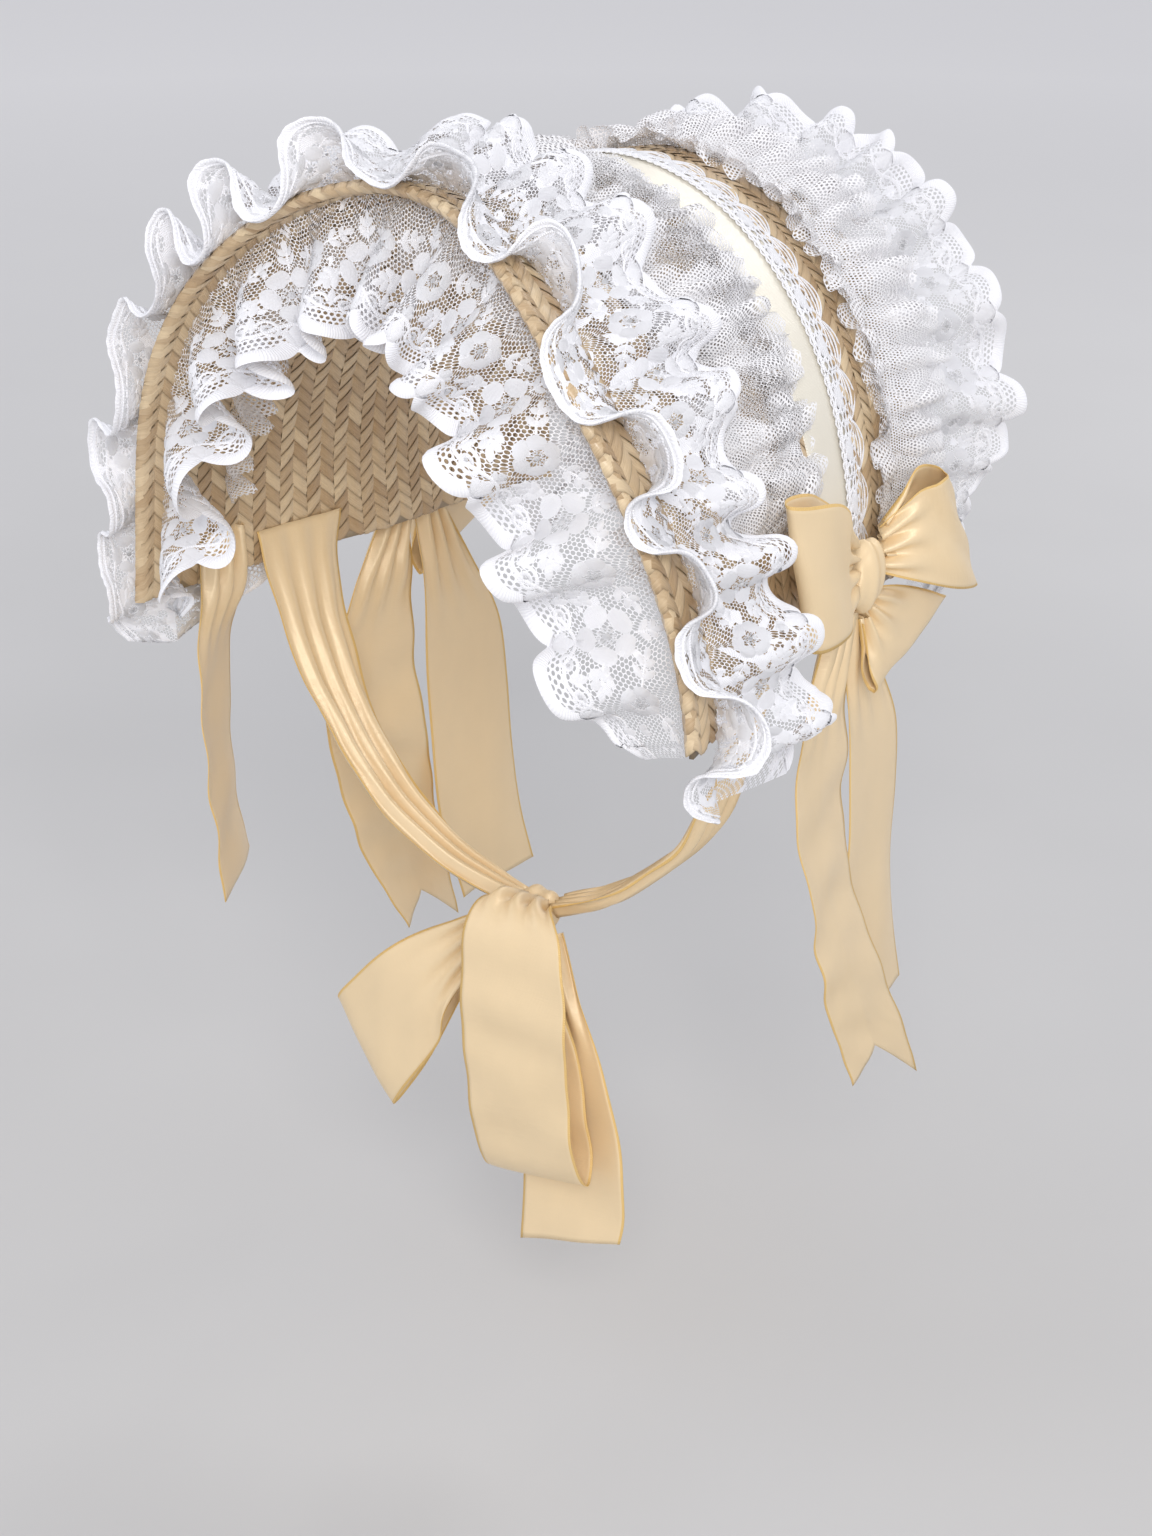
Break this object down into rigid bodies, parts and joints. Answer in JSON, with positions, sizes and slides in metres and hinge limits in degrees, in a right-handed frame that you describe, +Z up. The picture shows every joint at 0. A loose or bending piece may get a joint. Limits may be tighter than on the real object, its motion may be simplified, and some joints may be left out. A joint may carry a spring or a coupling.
{
  "type": "straw half bonnet",
  "caption": "Straw half bonnet, open at front and back, with gathered lace and tulle ruffles, a satin band, side bows with tails, and ribbon ties under the chin.",
  "frame": {"origin": "crown seat: the middle of the straw's inner face at the top, where the top of the head carries it", "axes": "+Z up as worn, -Y the way the wearer looks, +X the wearer's left"},
  "size_m": [0.3002, 0.3128, 0.4691],
  "materials": {
    "straw_plait": "golden wheat straw plait, satin sheen",
    "embroidered_lace": "white embroidered net, matt thread",
    "cluny_lace": "white openwork cotton lace, matt",
    "tulle_net": "soft white net, see-through",
    "band_satin": "pale cream satin",
    "ribbon_satin": "butter-cream satin with yellow woven edges"
  },
  "bodies": {
    "root": {"straw_shell": "straw_plait", "front_lace_outer": "embroidered_lace", "front_lace_inner": "embroidered_lace", "back_lace": "embroidered_lace", "cluny_trim": "cluny_lace", "front_tulle": "tulle_net", "back_tulle": "tulle_net", "inner_tulle": "tulle_net", "satin_band": "band_satin", "side_knot_left": "ribbon_satin", "bow_loop_front_left": "ribbon_satin", "bow_loop_upper_left": "ribbon_satin", "bow_loop_lower_left": "ribbon_satin", "bow_tail_front_left": "ribbon_satin", "bow_tail_back_left": "ribbon_satin", "chin_tie_left": "ribbon_satin", "side_knot_right": "ribbon_satin", "bow_loop_front_right": "ribbon_satin", "bow_loop_upper_right": "ribbon_satin", "bow_loop_lower_right": "ribbon_satin", "bow_tail_front_right": "ribbon_satin", "bow_tail_back_right": "ribbon_satin", "chin_tie_right": "ribbon_satin", "chin_knot": "ribbon_satin", "chin_loop_long": "ribbon_satin", "chin_loop_short": "ribbon_satin", "chin_tail_long": "ribbon_satin", "chin_tail_short": "ribbon_satin", "side_streamer": "ribbon_satin"}
  },
  "joints": []
}
